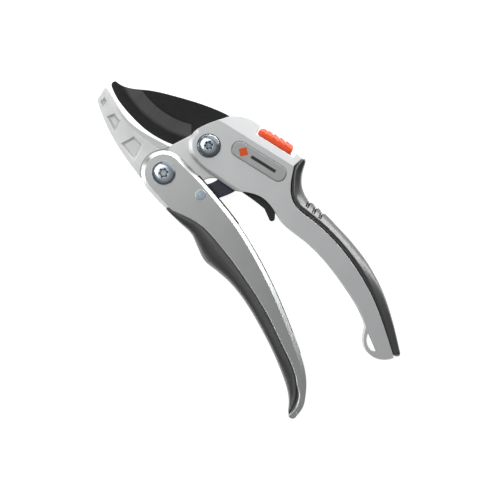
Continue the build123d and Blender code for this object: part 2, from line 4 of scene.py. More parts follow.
import bmesh
import bpy
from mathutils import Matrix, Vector


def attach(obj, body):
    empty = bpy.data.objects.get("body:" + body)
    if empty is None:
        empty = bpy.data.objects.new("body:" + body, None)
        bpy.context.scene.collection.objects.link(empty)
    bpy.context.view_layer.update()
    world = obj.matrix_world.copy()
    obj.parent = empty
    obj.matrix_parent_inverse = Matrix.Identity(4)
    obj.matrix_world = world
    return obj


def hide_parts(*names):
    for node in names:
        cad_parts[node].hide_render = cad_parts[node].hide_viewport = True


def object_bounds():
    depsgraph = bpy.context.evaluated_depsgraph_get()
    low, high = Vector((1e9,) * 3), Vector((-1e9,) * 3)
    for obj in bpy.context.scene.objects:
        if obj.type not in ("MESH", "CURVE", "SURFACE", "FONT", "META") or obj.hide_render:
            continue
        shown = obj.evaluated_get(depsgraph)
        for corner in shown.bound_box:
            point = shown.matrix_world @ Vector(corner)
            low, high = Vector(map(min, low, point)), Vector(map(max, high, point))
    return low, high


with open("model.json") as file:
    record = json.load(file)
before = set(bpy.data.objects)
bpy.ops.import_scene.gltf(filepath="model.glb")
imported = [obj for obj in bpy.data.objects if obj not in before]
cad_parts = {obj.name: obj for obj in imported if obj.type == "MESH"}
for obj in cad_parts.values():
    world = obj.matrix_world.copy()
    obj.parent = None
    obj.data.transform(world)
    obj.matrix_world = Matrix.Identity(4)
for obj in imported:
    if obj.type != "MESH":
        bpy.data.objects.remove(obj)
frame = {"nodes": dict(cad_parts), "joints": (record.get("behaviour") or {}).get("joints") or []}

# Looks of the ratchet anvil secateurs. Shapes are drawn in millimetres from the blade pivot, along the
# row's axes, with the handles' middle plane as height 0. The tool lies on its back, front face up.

cad_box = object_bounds()

MM = 0.001
JOINTS = {joint["name"]: joint for joint in frame["joints"]}
BLADE_PIVOT = Vector(JOINTS["blade_hinge"]["pos_m"])
RIDGE_DIRECTION = Vector(JOINTS["lock_slide"]["axis"])  # the head's top edge, where the lock slider runs
RIDGE_START = (0, 15.7)
GRIP_HALF = 8.8  # half the depth of both grips


def at(x, y, height=0.0):
    """The row's point for millimetres from the blade pivot."""
    return BLADE_PIVOT + Vector((x, y, height)) * MM


def on_ridge(along, above, height):
    """The row's point for millimetres along the head's ridge, above it, and before the middle plane."""
    across = Vector((-RIDGE_DIRECTION.y, RIDGE_DIRECTION.x, 0))
    return at(*RIDGE_START) + (RIDGE_DIRECTION * along + across * above + Vector((0, 0, height))) * MM


# Curves and meshes


def curve_point(points, position):
    """A point of the smooth curve through points, with position counted in points."""
    first = min(int(position), len(points) - 2)
    local = position - first
    p1 = Vector(points[first])
    p2 = Vector(points[first + 1])
    p0 = Vector(points[first - 1]) if first > 0 else 2 * p1 - p2
    p3 = Vector(points[first + 2]) if first + 2 < len(points) else 2 * p2 - p1
    chord = (p2 - p1).length
    before = chord / max((p1 - p0).length + chord, 1e-9)
    after = chord / max((p3 - p2).length + chord, 1e-9)
    slope1 = (p2 - p0) * before
    slope2 = (p3 - p1) * after
    square = local * local
    cube = square * local
    return (
        p1 * (2 * cube - 3 * square + 1)
        + slope1 * (cube - 2 * square + local)
        + p2 * (3 * square - 2 * cube)
        + slope2 * (cube - square)
    )


def smooth_step(low, high, value):
    """0 below low and 1 above high, with a smooth rise between them."""
    share = min(max((value - low) / (high - low), 0.0), 1.0)
    return share * share * (3 - 2 * share)


def skin(name, rings, material, body):
    """A closed mesh through rings of points, with a face over each end."""
    builder = bmesh.new()
    made = [[builder.verts.new(point) for point in ring] for ring in rings]
    count = len(made[0])
    for ring, following in zip(made, made[1:]):
        for index in range(count):
            beside = (index + 1) % count
            builder.faces.new((ring[index], ring[beside], following[beside], following[index]))
    builder.faces.new(list(reversed(made[0])))
    builder.faces.new(made[-1])
    bmesh.ops.recalc_face_normals(builder, faces=builder.faces)
    mesh = bpy.data.meshes.new(name)
    builder.to_mesh(mesh)
    builder.free()
    mesh.shade_smooth()
    mesh.materials.append(material)
    piece = bpy.data.objects.new(name, mesh)
    bpy.context.scene.collection.objects.link(piece)
    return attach(piece, body)


# Materials


class Surface:
    """A procedural material. Its textures are sized in millimetres and stay fixed to their body."""

    def __init__(self, name, **sockets):
        self.material = bpy.data.materials.new(name)
        self.material.use_nodes = True
        self.nodes = self.material.node_tree.nodes
        self.links = self.material.node_tree.links
        self.shader = self.nodes["Principled BSDF"]
        for socket, value in sockets.items():
            self.shader.inputs[socket.replace("_", " ")].default_value = value
        self.coordinates = self.add("ShaderNodeTexCoord").outputs["Object"]

    def add(self, kind, **settings):
        node = self.nodes.new(kind)
        for name, value in settings.items():
            setattr(node, name, value)
        return node

    def connect(self, source, target):
        """Sets a socket to a number or a colour, or links another node's output to it."""
        if isinstance(source, (int, float, tuple)):
            target.default_value = source
        else:
            self.links.new(source, target)

    def math(self, operation, first, second=0.0):
        node = self.add("ShaderNodeMath", operation=operation)
        self.connect(first, node.inputs[0])
        self.connect(second, node.inputs[1])
        return node.outputs[0]

    def placed(self, centre=(0, 0, 0), stretch=(1, 1, 1), angle=0.0):
        """Millimetre coordinates from a point of the row, turned about Z and stretched."""
        moved = self.add("ShaderNodeVectorMath", operation="SUBTRACT")
        self.links.new(self.coordinates, moved.inputs[0])
        moved.inputs[1].default_value = centre
        mapping = self.add("ShaderNodeMapping", vector_type="TEXTURE")
        self.links.new(moved.outputs[0], mapping.inputs["Vector"])
        mapping.inputs["Rotation"].default_value = (0, 0, math.radians(angle))
        mapping.inputs["Scale"].default_value = tuple(MM * share for share in stretch)
        return mapping.outputs[0]

    def noise(self, size, detail=2.0, roughness=0.5, **placing):
        """Noise with features of that many millimetres, from 0 to 1."""
        node = self.add("ShaderNodeTexNoise")
        self.links.new(self.placed(**placing), node.inputs["Vector"])
        node.inputs["Scale"].default_value = 1.0 / size
        node.inputs["Detail"].default_value = detail
        node.inputs["Roughness"].default_value = roughness
        return node.outputs["Fac"]

    def spots(self, size):
        """Distance to the middle of the nearest of many cells of that many millimetres."""
        node = self.add("ShaderNodeTexVoronoi", feature="F1")
        self.links.new(self.placed(), node.inputs["Vector"])
        node.inputs["Scale"].default_value = 1.0 / size
        return node.outputs["Distance"]

    def distance(self, centre):
        """Distance from a point of the row, along the handles' faces, in millimetres."""
        node = self.add("ShaderNodeVectorMath", operation="LENGTH")
        flat = self.add("ShaderNodeVectorMath", operation="MULTIPLY")
        self.links.new(self.placed(centre=centre), flat.inputs[0])
        flat.inputs[1].default_value = (1, 1, 0)
        self.links.new(flat.outputs[0], node.inputs[0])
        return node.outputs["Value"]

    def beyond(self, point, direction):
        """Millimetres past a line through a point of the row. The direction is the line's normal."""
        node = self.add("ShaderNodeVectorMath", operation="DOT_PRODUCT")
        self.links.new(self.placed(centre=point), node.inputs[0])
        node.inputs[1].default_value = (*direction, 0)
        return node.outputs["Value"]

    def above(self, height):
        """1 for whatever stands more than that many millimetres before the handles' middle plane."""
        split = self.add("ShaderNodeSeparateXYZ")
        self.links.new(self.placed(centre=at(0, 0)), split.inputs[0])
        return self.spread(split.outputs["Z"], height, height + 0.2)

    def spread(self, value, low, high, to_low=0.0, to_high=1.0, smooth=False):
        """Takes low..high of a value to to_low..to_high."""
        kind = "SMOOTHSTEP" if smooth else "LINEAR"
        node = self.add("ShaderNodeMapRange", clamp=True, interpolation_type=kind)
        self.connect(value, node.inputs["Value"])
        node.inputs["From Min"].default_value = low
        node.inputs["From Max"].default_value = high
        node.inputs["To Min"].default_value = to_low
        node.inputs["To Max"].default_value = to_high
        return node.outputs["Result"]

    def mixed(self, share, first, second):
        """One colour turning into another. A colour is three linear numbers or a node's output."""
        node = self.add("ShaderNodeMix", data_type="RGBA")
        self.connect(share, node.inputs[0])
        for colour, target in ((first, node.inputs[6]), (second, node.inputs[7])):
            self.connect((*colour, 1.0) if isinstance(colour, tuple) else colour, target)
        return node.outputs[2]

    def edges(self, radius):
        """0 on flat ground, rising to 1 on edges, over that many millimetres."""
        rounded = self.add("ShaderNodeBevel", samples=6)
        rounded.inputs["Radius"].default_value = radius * MM
        true = self.add("ShaderNodeNewGeometry").outputs["Normal"]
        product = self.add("ShaderNodeVectorMath", operation="DOT_PRODUCT")
        self.links.new(rounded.outputs[0], product.inputs[0])
        self.links.new(true, product.inputs[1])
        return self.spread(product.outputs["Value"], 1.0, 0.965)

    def hollow(self, depth):
        """1 inside narrow recesses of about that many millimetres, 0 on open surfaces."""
        node = self.add("ShaderNodeAmbientOcclusion", samples=8, only_local=True)
        node.inputs["Distance"].default_value = depth * MM
        return self.spread(node.outputs["AO"], 0.86, 0.5)

    def inside(self, position, half_sizes, diamond=False):
        """1 within a rectangle or a diamond round the origin of some millimetre coordinates."""
        split = self.add("ShaderNodeSeparateXYZ")
        self.links.new(position, split.inputs[0])
        shares = []
        for axis, half in zip("XY", half_sizes):
            shares.append(self.math("DIVIDE", self.math("ABSOLUTE", split.outputs[axis]), half))
        measure = self.math("ADD" if diamond else "MAXIMUM", *shares)
        return self.spread(measure, 1.0, 1.06, 1.0, 0.0)

    def colour(self, value):
        """Links the base colour, and gives the surface back for the next call."""
        self.links.new(value, self.shader.inputs["Base Color"])
        return self

    def roughness(self, value):
        """Links the roughness, and gives the surface back for the next call."""
        self.links.new(value, self.shader.inputs["Roughness"])
        return self

    def relief(self, value, depth, soft_edge=0.0):
        """Bump of that many millimetres, over edges rounded by that many millimetres."""
        node = self.add("ShaderNodeBump")
        node.inputs["Strength"].default_value = 1.0
        node.inputs["Distance"].default_value = depth * MM
        self.links.new(value, node.inputs["Height"])
        if soft_edge:
            rounded = self.add("ShaderNodeBevel", samples=6)
            rounded.inputs["Radius"].default_value = soft_edge * MM
            self.links.new(rounded.outputs[0], node.inputs["Normal"])
        self.links.new(node.outputs[0], self.shader.inputs["Normal"])
        return self


def satin_paint(name, tone, shade, roughness, metallic):
    """Metallic paint on a casting: fine flakes, faint orange peel, and edges lighter, partly rubbed paint
    and partly a painted highlight.
    """
    surface = Surface(name, Metallic=metallic)
    flakes = surface.spots(0.16)
    clouds = surface.noise(14, detail=3)
    base = surface.mixed(surface.spread(clouds, 0.3, 0.7), shade, tone)
    speckled = surface.mixed(surface.spread(flakes, 0.2, 0.75, 0.0, 0.10), base, (0.95, 0.96, 0.97))
    # Painted highlight, with some edge wear: the edges are lightened towards a brighter copy of the tone.
    highlight_tone = tuple(min(channel * 1.42, 0.95) for channel in tone)
    wear_and_highlight = surface.math("MULTIPLY", surface.edges(0.45), 0.85)
    surface.colour(surface.mixed(wear_and_highlight, speckled, highlight_tone))
    wear = surface.noise(5, detail=4)
    surface.roughness(surface.spread(wear, 0.25, 0.75, roughness - 0.015, roughness + 0.02))
    return surface.relief(surface.noise(1.1, detail=1), 0.0012, soft_edge=0.3).material


def soft_rubber():
    """Matte elastomer with a fine moulded grain, a few paler scuffs and dust in the grain."""
    surface = Surface("soft_rubber", IOR=1.7, Specular_IOR_Level=0.95)
    grain = surface.spots(0.32)
    scuffs = surface.noise(7, detail=6, roughness=0.65)
    base = surface.mixed(surface.spread(scuffs, 0.35, 0.75), (0.010, 0.010, 0.0105), (0.019, 0.019, 0.020))
    surface.colour(surface.mixed(surface.spread(grain, 0.1, 0.6, 0.0, 0.35), base, (0.034, 0.034, 0.035)))
    surface.roughness(surface.spread(scuffs, 0.3, 0.7, 0.33, 0.39))
    return surface.relief(grain, 0.018).material


def coated_blade():
    """Black non-stick coating. The ground zone is paler, with marks across it, and the edge is dark."""
    grind_centre = at(-43, 38.5)
    ground_from = 47.0
    dark_from = 53.0
    dark_to = 55.8
    surface = Surface("coated_blade", Metallic=0.2, Specular_IOR_Level=0.25)
    radius = surface.distance(grind_centre)
    ground = surface.spread(radius, ground_from, ground_from + 0.4, smooth=True)
    before_heel = surface.spread(surface.beyond(at(-15.5, 0.3), (0.64, 0.77)), -0.2, 0.2, 1.0, 0.0)
    ground = surface.math("MULTIPLY", ground, before_heel)
    edge = surface.spread(radius, dark_from, dark_to, smooth=True)
    speckle = surface.noise(0.35, detail=4, roughness=0.7)
    pits = surface.spread(speckle, 0.35, 0.75)
    coating = surface.mixed(pits, (0.012, 0.012, 0.013), (0.021, 0.021, 0.022))
    marks = surface.noise(1.0, detail=5, stretch=(0.25, 9, 9), angle=8, roughness=0.7)
    scored = surface.spread(marks, 0.3, 0.7)
    steel = surface.mixed(scored, (0.074, 0.074, 0.076), (0.108, 0.108, 0.110))
    both = surface.mixed(ground, coating, steel)
    surface.colour(surface.mixed(edge, both, (0.014, 0.014, 0.015)))
    surface.roughness(surface.spread(surface.noise(3, detail=5), 0.3, 0.7, 0.42, 0.56))
    height = surface.math("ADD", speckle, surface.math("MULTIPLY", marks, ground))
    return surface.relief(height, 0.006, soft_edge=0.15).material


def cast_anvil():
    """Pale painted die casting: grainy skin, a flange darkened with painted shade away from the tip, and
    edges lightened, partly rubbed paint and partly a painted highlight.
    """
    tip = at(-59, -27)
    flange_height = 6.4
    surface = Surface("cast_anvil", Metallic=0.25, Specular_IOR_Level=0.5)
    skin_grain = surface.noise(0.5, detail=4, roughness=0.6)
    stains = surface.noise(9, detail=5, roughness=0.6)
    base = surface.mixed(surface.spread(stains, 0.3, 0.75), (0.80, 0.81, 0.815), (0.86, 0.87, 0.87))
    # Painted shade: the flange's top is darkened, except over the last 9 to 17 mm at the tip.
    behind_tip = surface.spread(surface.distance(tip), 9, 17)
    flange = surface.math("MULTIPLY", surface.above(flange_height), behind_tip)
    flange_painted_shade = surface.mixed(surface.math("MULTIPLY", flange, 0.75), base, (0.52, 0.53, 0.535))
    grainy = surface.mixed(surface.spread(skin_grain, 0.55, 0.8, 0.0, 0.3), flange_painted_shade, (0.50, 0.51, 0.52))
    # Painted highlight, with some edge wear: the edges are lightened towards near white.
    wear_and_highlight = surface.math("MULTIPLY", surface.edges(0.6), 0.9)
    surface.colour(surface.mixed(wear_and_highlight, grainy, (0.95, 0.95, 0.95)))
    surface.roughness(surface.spread(skin_grain, 0.3, 0.7, 0.34, 0.46))
    return surface.relief(skin_grain, 0.012, soft_edge=0.35).material


def turned_steel(name, centres, tone, roughness):
    """Plated turned steel: fine rings round each screw's axis, with a faint blue cast and stains, and
    painted shade darkening the recesses.
    """
    surface = Surface(name, Metallic=1.0)
    nearest = surface.distance(centres[0])
    for centre in centres[1:]:
        nearest = surface.math("MINIMUM", nearest, surface.distance(centre))
    wobble = surface.math("MULTIPLY", surface.noise(1.6, detail=2), 0.25)
    rings = surface.math("SINE", surface.math("MULTIPLY", surface.math("ADD", nearest, wobble), 12.0))
    stains = surface.noise(2.2, detail=5, roughness=0.65)
    blue = tuple(channel * share for channel, share in zip(tone, (0.80, 0.88, 0.98)))
    plated = surface.mixed(surface.spread(stains, 0.3, 0.7), blue, tone)
    # Painted shade: recesses such as the star drive are darkened towards near black.
    recess_painted_shade = surface.hollow(2.8)
    surface.colour(surface.mixed(recess_painted_shade, plated, (0.018, 0.016, 0.014)))
    surface.roughness(surface.spread(stains, 0.3, 0.75, roughness - 0.05, roughness + 0.04))
    return surface.relief(rings, 0.0012, soft_edge=0.12).material


def badge_face():
    """Satin plate with a plain printed decoration: an orange diamond and a dark bar."""
    turned = 18.2  # the plate's long axis, in degrees from the row's X
    surface = Surface("badge_plate", Metallic=0.35)
    face = surface.placed(centre=at(24.25, 15.4), angle=turned)
    grain = surface.noise(0.3, detail=2, stretch=(9, 0.6, 1), angle=turned)
    plate = surface.mixed(surface.spread(grain, 0.3, 0.7), (0.42, 0.43, 0.43), (0.48, 0.49, 0.49))
    diamond_place = surface.placed(centre=at(14.8, 12.3), angle=turned)
    diamond = surface.inside(diamond_place, (3.0, 3.0), diamond=True)
    bar_place = surface.placed(centre=at(26.9, 16.3), angle=turned)
    bar = surface.inside(bar_place, (7.6, 0.85))
    within_rim = surface.inside(face, (15.6, 3.7))
    toned = surface.mixed(within_rim, (0.36, 0.37, 0.37), plate)
    printed = surface.mixed(diamond, toned, (0.80, 0.10, 0.01))
    surface.colour(surface.mixed(bar, printed, (0.03, 0.03, 0.032)))
    surface.roughness(surface.spread(grain, 0.3, 0.7, 0.34, 0.42))
    return surface.relief(grain, 0.001, soft_edge=0.2).material


def plain_metal(name, dark, light, roughness):
    """Small steel and bronze pieces: drawn or sintered grain with uneven tarnish."""
    surface = Surface(name, Metallic=1.0)
    tarnish = surface.noise(2.4, detail=5, roughness=0.65)
    surface.colour(surface.mixed(surface.spread(tarnish, 0.3, 0.7), dark, light))
    surface.roughness(surface.spread(tarnish, 0.3, 0.7, roughness - 0.07, roughness + 0.08))
    return surface.relief(surface.noise(0.24, detail=3), 0.006).material


def moulded_plastic(name, dark, light, roughness, grain=0.4, subsurface=0.0, shine=0.5):
    """Injection moulded plastic: an eroded fine grain and slightly mottled colour."""
    surface = Surface(name, Specular_IOR_Level=shine, Subsurface_Weight=subsurface)
    surface.shader.inputs["Subsurface Scale"].default_value = 0.6 * MM
    mottle = surface.noise(4, detail=4, roughness=0.6)
    pits = surface.noise(grain, detail=2)
    surface.colour(surface.mixed(surface.spread(mottle, 0.3, 0.7), dark, light))
    surface.roughness(surface.spread(pits, 0.3, 0.7, roughness - 0.05, roughness + 0.07))
    return surface.relief(pits, 0.008, soft_edge=0.15).material


SCREWED_JOINTS = ("blade_hinge", "lower_handle_hinge", "ratchet_link_hinge")
SCREW_AXES = [Vector(JOINTS[name]["pos_m"]) for name in SCREWED_JOINTS]
MATERIALS = {
    "coated_blade": coated_blade(),
    "cast_anvil": cast_anvil(),
    "silver_upper": satin_paint(
        "silver_upper", (0.65, 0.66, 0.665), (0.62, 0.63, 0.635), roughness=0.4, metallic=0.5
    ),
    "silver_lower": satin_paint(
        "silver_lower", (0.46, 0.475, 0.465), (0.435, 0.45, 0.44), roughness=0.33, metallic=0.85
    ),
    "soft_rubber": soft_rubber(),
    "badge_plate": badge_face(),
    "zinc_steel": turned_steel("zinc_steel", SCREW_AXES, (0.66, 0.72, 0.76), roughness=0.21),
    "black_ring": moulded_plastic("black_ring", (0.008, 0.008, 0.008), (0.014, 0.014, 0.014), 0.45),
    "bronze_bush": plain_metal("bronze_bush", (0.36, 0.22, 0.09), (0.52, 0.34, 0.15), 0.38),
    "spring_steel": plain_metal("spring_steel", (0.36, 0.37, 0.39), (0.52, 0.53, 0.55), 0.38),
    "black_plastic": moulded_plastic("black_plastic", (0.014, 0.014, 0.015), (0.024, 0.024, 0.025), 0.48),
    "link_steel": plain_metal("link_steel", (0.045, 0.048, 0.062), (0.075, 0.08, 0.10), 0.42),
    "orange_plastic": moulded_plastic(
        "orange_plastic",
        (0.88, 0.06, 0.002),
        (0.96, 0.09, 0.004),
        roughness=0.36,
        grain=0.5,
        subsurface=0.05,
        shine=0.75,
    ),
}
CAD_SLOTS = {
    "blade": "coated_blade",
    "anvil_jaw": "cast_anvil",
    "upper_handle": "silver_upper",
    "lower_handle": "silver_lower",
    "handle_liner": "black_plastic",
    "ratchet_link": "link_steel",
    "release_lever": "black_plastic",
    "lever_pin": "zinc_steel",
    "lock_tab": "link_steel",
    "detent_ball": "spring_steel",
    "badge": "badge_plate",
    "opening_spring": "spring_steel",
    "link_spring": "spring_steel",
    "lever_spring": "spring_steel",
    "blade_pivot_bush": "bronze_bush",
    "handle_pivot_bush": "bronze_bush",
    "blade_pivot_washers": "spring_steel",
    "handle_pivot_washers": "spring_steel",
    "link_spacers": "black_plastic",
    "blade_pivot_ring": "black_ring",
    "blade_pivot_bolt": "zinc_steel",
    "handle_pivot_bolt": "zinc_steel",
    "blade_pivot_nut": "zinc_steel",
    "handle_pivot_nut": "zinc_steel",
    "link_pin": "zinc_steel",
    "tang_screws": "zinc_steel",
}
for node, slot in CAD_SLOTS.items():
    shown = frame["nodes"][node].data
    shown.materials.clear()
    shown.materials.append(MATERIALS[slot])


# Grips: each is skinned over cross sections from the metal's edge to the palm's side

SLOPE_STEPS = 24
ROUND_STEPS = 12
NARROWEST = 0.15  # width in mm that a grip is taken to have at least


def grip_section(inner, outer, profile):
    """One ring of a grip, the same in front and behind, from pairs of millimetres across it and height."""
    across = outer - inner
    width = max(across.length, NARROWEST)
    front = []
    for along, height in profile:
        position = inner + across * min(along / width, 1.0)
        front.append((position.x, position.y, height))
    back = [(x, y, -height) for x, y, height in reversed(front) if height > 1e-6]
    return [at(*point) for point in front + back]


def lean_down(profile, stop, width, tilt_at):
    """Carries a profile on to a place across the grip, with a tilt for each share of the width."""
    along, height = profile[-1]
    step = (stop - along) / SLOPE_STEPS
    for _ in range(SLOPE_STEPS):
        height -= step * math.tan(tilt_at((along + step / 2) / width))
        along += step
        profile.append((along, height))


def round_off(profile, width, tilt):
    """Ends a profile in a round, from a tilted slope to the upright surface of the palm's side."""
    along, height = profile[-1]
    start = Vector((along, height))
    end = Vector((width, 0.0))
    first = start + Vector((math.cos(tilt), -math.sin(tilt))) * 0.6 * (width - along)
    second = Vector((width, 0.55 * height))
    for index in range(1, ROUND_STEPS + 1):
        share = index / ROUND_STEPS
        rest = 1 - share
        point = start * rest**3
        point += first * 3 * rest**2 * share
        point += second * 3 * rest * share**2
        point += end * share**3
        profile.append((point.x, point.y))


UPPER_GRIP_SECTIONS = (
    ((38.6, 35.4), (40.2, 35.8)),
    ((38.15, 33.9), (41.4, 34.1)),
    ((38.05, 31.0), (43.3, 31.2)),
    ((38.7, 27.6), (45.6, 28.3)),
    ((43.0, 22.7), (49.3, 25.2)),
    ((49.5, 17.0), (53.8, 23.3)),
    ((56.0, 15.0), (58.0, 22.7)),
    ((61.5, 15.8), (61.8, 23.2)),
    ((66.5, 16.8), (66.0, 23.9)),
    ((73.0, 17.9), (71.6, 24.8)),
    ((80.0, 18.8), (79.3, 25.7)),
    ((92.0, 19.2), (92.0, 26.2)),
    ((105.0, 18.2), (106.0, 25.4)),
    ((120.0, 15.4), (122.2, 21.9)),
    ((135.0, 10.5), (138.0, 15.7)),
    ((153.4, 3.1), (155.9, 6.7)),
)
UPPER_LAST = len(UPPER_GRIP_SECTIONS) - 1
THUMB_SLOTS = (59.2, 63.9, 68.3)  # x of each slot, measured 1.5 mm in from the palm's side
SLOT_LEAN = 0.42  # how far it moves along X for each millimetre in
SLOT_REACH = 3.5  # how far a slot runs in from the palm's side
THIN_CUT = 1.3  # depths of the two cuts side by side
WIDE_CUT = 1.6
BLOCK_START = 0.4  # past the place of each slot
BLOCK_SWELL = 0.55  # how far a block stands out at most
GROOVE_WIDTH = 2.6  # of the dark groove beside the metal, and at most GROOVE_SHARE of the grip's width
GROOVE_SHARE = 0.36
GROOVE_DEPTH = 2.6
GROOVE_WALL = 0.14  # share of the groove where its wall ends
GROOVE_FALL = 0.46  # how far the grip falls towards the wall, per width of the groove
CROWN_END = 0.84  # share of the width where the round to the palm's side begins
CROWN_TILT = 41  # degrees that the slope gains over the crown, and then over the back
BACK_TILT = 13
END_REACH = (0.8, 0.12)  # how far the rounding of its two ends goes in, counted in sections


def rounded_end(position):
    """1 along the upper grip, falling to 0 as a quarter circle at both ends."""
    inside = min(position / END_REACH[0], (UPPER_LAST - position) / END_REACH[1], 1.0)
    return math.sqrt(max(1 - (1 - inside) ** 2, 0.0))


def crown_lean(position):
    """How much of its full tilt the crown has: less of it on the horn, and least at the tail."""
    horn = 0.62 + 0.38 * smooth_step(3.2, 5.0, position)
    tail = 1 - 0.72 * smooth_step(11.0, 14.5, position)
    return horn * tail


def groove_profile(half, groove):
    """The groove beside the metal: its floor, its wall, and the rise to the crown."""
    floor = half - GROOVE_DEPTH
    fall = GROOVE_FALL * groove
    profile = [(0.0, floor), (0.1 * groove, floor), (GROOVE_WALL * groove, half - fall)]
    for index in range(1, ROUND_STEPS + 1):
        share = GROOVE_WALL + (1 - GROOVE_WALL) * index / ROUND_STEPS
        profile.append((share * groove, half - fall * ((1 - share) / (1 - GROOVE_WALL)) ** 1.7))
    return profile


def slot_depth(point, from_edge):
    """How deep a thumb slot is here: a thin cut beside a wide one, and both lean away from the horn."""
    deepest = 0.0
    for place in THUMB_SLOTS:
        beside = point.x - place - SLOT_LEAN * (from_edge - 1.5)
        thin = 1 - smooth_step(0.12, 0.3, abs(beside + 0.62))
        wide = 1 - smooth_step(0.2, 0.42, abs(beside - 0.42))
        reach = 1 - smooth_step(SLOT_REACH, SLOT_REACH + 0.7, from_edge)
        deepest = max(deepest, THIN_CUT * thin * reach, WIDE_CUT * wide * reach)
    return deepest


def block_swell(point):
    """How far the blocks behind the thumb slots stand out. Each steps up and falls to the next."""
    for place, following in zip(THUMB_SLOTS, (*THUMB_SLOTS[1:], THUMB_SLOTS[-1] + 9)):
        if place + BLOCK_START <= point.x < following + BLOCK_START:
            share = (point.x - place - BLOCK_START) / (following - place)
            return BLOCK_SWELL * smooth_step(0.0, 0.1, share) * (1 - share**1.5)
    return 0.0


def upper_grip_ring(position):
    """Convex soft grip with a groove beside the metal. Three slots for the thumb cross its crown."""
    inner = curve_point([pair[0] for pair in UPPER_GRIP_SECTIONS], position)
    outer = curve_point([pair[1] for pair in UPPER_GRIP_SECTIONS], position)
    outer += (outer - inner).normalized() * block_swell(outer)
    end = rounded_end(position)
    middle = (inner + outer) / 2
    inner = middle + (inner - middle) * (0.25 + 0.75 * end)
    outer = middle + (outer - middle) * (0.25 + 0.75 * end)
    width = (outer - inner).length
    groove = min(GROOVE_WIDTH, GROOVE_SHARE * width)
    lean = crown_lean(position)

    def tilt_at(share):
        crown = CROWN_TILT * smooth_step(0.12, 0.46, share)
        back = BACK_TILT * smooth_step(0.56, 0.84, share)
        return math.radians(crown + back) * lean

    profile = groove_profile(GRIP_HALF * (0.55 + 0.45 * end), groove)
    lean_down(profile, CROWN_END * width, width, tilt_at)
    round_off(profile, width, math.radians(CROWN_TILT + BACK_TILT) * lean)
    sunk = []
    for along, height in profile:
        depth = slot_depth(inner.lerp(outer, along / width), width - along)
        if depth > 0:
            toward = 1 - depth / max(math.hypot(along - groove, height), 0.1)
            along = groove + (along - groove) * toward
            height *= toward
        sunk.append((along, height))
    return grip_section(inner, outer, sunk)


def grip_positions(last, dense_from, dense_to, dense_count):
    """Places along a grip, counted in sections and closer together at its ends and in one stretch."""
    places = {index / 16 for index in range(16 * last + 1)}
    places |= {index / 80 for index in range(40)}
    places |= {last - index / 80 for index in range(30)}
    stretch = dense_to - dense_from
    places |= {dense_from + stretch * index / dense_count for index in range(dense_count + 1)}
    return sorted(places)


def make_upper_grip():
    rings = [upper_grip_ring(place) for place in grip_positions(UPPER_LAST, 6.0, 9.0, 150)]
    grip = skin("upper_grip_rubber", rings, MATERIALS["soft_rubber"], "upper_frame")
    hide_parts("upper_grip")


LOWER_GRIP_SECTIONS = (
    ((11.5, -40.0), (11.6, -40.2)),
    ((15.8, -37.9), (16.4, -39.9)),
    ((20.0, -36.0), (21.4, -39.4)),
    ((30.0, -32.0), (30.6, -38.4)),
    ((38.0, -31.05), (38.2, -40.4)),
    ((46.5, -30.9), (46.6, -42.3)),
    ((56.0, -31.2), (55.6, -40.7)),
    ((66.0, -32.0), (64.8, -39.4)),
    ((78.0, -33.2), (76.6, -39.6)),
    ((92.0, -35.5), (90.2, -41.6)),
    ((110.0, -40.0), (107.6, -45.4)),
    ((126.0, -44.9), (123.0, -50.2)),
    ((134.0, -50.5), (131.0, -53.6)),
    ((137.6, -55.4), (135.8, -56.8)),
    ((139.7, -60.4), (139.5, -60.3)),
)
FLANK_END = 0.86  # share of the width where the round to the palm's side begins
LOWER_TILT = 34  # degrees that the slope has there
TUCK = 0.25  # how far the grip reaches into the metal's edge, from TUCK_LOW to TUCK_HIGH below its front
TUCK_LOW = 3.4
TUCK_HIGH = 0.6


def flank_tilt(position):
    """Tilt of the flank in degrees: flattest at about two thirds of the grip, steepest at its tip."""
    return 15 - 6 * smooth_step(5.0, 9.5, position) + 13 * smooth_step(9.8, 11.5, position)


def lower_grip_ring(position):
    """Grip with a slanting flank beside the metal, which turns into a rounded back."""
    inner = curve_point([pair[0] for pair in LOWER_GRIP_SECTIONS], position)
    outer = curve_point([pair[1] for pair in LOWER_GRIP_SECTIONS], position)
    width = max((outer - inner).length, NARROWEST)
    half = GRIP_HALF - 0.05
    flank = flank_tilt(position)

    def tilt_at(share):
        near = flank * smooth_step(0.0, 0.4, share)
        far = (LOWER_TILT - flank) * smooth_step(0.38, 0.86, share)
        return math.radians(near + far)

    profile = [(-TUCK, half - TUCK_LOW), (-TUCK, half - TUCK_HIGH), (0.0, half)]
    lean_down(profile, FLANK_END * width, width, tilt_at)
    round_off(profile, width, math.radians(LOWER_TILT))
    return grip_section(inner, outer, profile)


def make_lower_grip():
    last = len(LOWER_GRIP_SECTIONS) - 1
    rings = [lower_grip_ring(place) for place in grip_positions(last, 3.0, 7.0, 60)]
    grip = skin("lower_grip_rubber", rings, MATERIALS["soft_rubber"], "lower_arm")
    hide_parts("lower_grip")


make_upper_grip()
make_lower_grip()


# Lock slider: straight sides under a crowned back with thumb ribs

SLIDER_LOW = 4.25  # its underside above the ridge
SLIDER_SHOULDER = 6.3  # where the side ends and the crown begins
SLIDER_HALF = 6.2  # half its depth
SLIDER_BACK = 14.1  # where it starts and ends, along the ridge
SLIDER_FRONT = 35.3
SLIDER_ROUNDS = (2.6, 2.0)  # lengths of the rounds at its back and front
SLIDER_ENDS = 6.9  # height of the crown's middle at both ends, and how far it rises from there
SLIDER_RISE = 2.55
SLIDER_RINGS = 150
SLIDER_GROOVES = (17.9, 21.7, 25.5, 29.3)
SLIDER_CUT = 0.75  # depth of each groove
SLIDER_RIB = 0.35  # how far the rib past each groove stands out
CROWN_STEPS = 14


